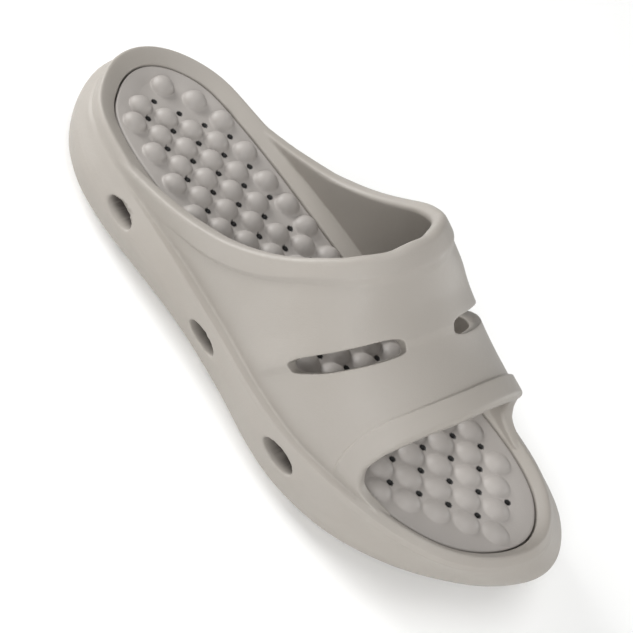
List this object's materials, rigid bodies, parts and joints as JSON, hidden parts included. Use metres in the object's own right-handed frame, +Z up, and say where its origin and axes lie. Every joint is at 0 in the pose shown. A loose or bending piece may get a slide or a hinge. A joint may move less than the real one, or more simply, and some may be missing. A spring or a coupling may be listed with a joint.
{
  "type": "sport slide sandal",
  "caption": "Right-foot slide sandal: one foam moulding with a wide vented strap and a flared sole, with a loose domed footbed.",
  "frame": {"origin": "middle of the sandal's box seen from above, on the floor that the tread rests on", "axes": "+Y from heel to toe, +X to the outer side of the foot, +Z up"},
  "size_m": [0.1124, 0.2842, 0.0957],
  "materials": {
    "foam_shell": "matte moulded foam with a faint sheen",
    "foam_footbed": "matte moulded foam"
  },
  "bodies": {
    "root": {"upper_and_sole": "foam_shell", "insole": "foam_footbed"}
  },
  "joints": []
}
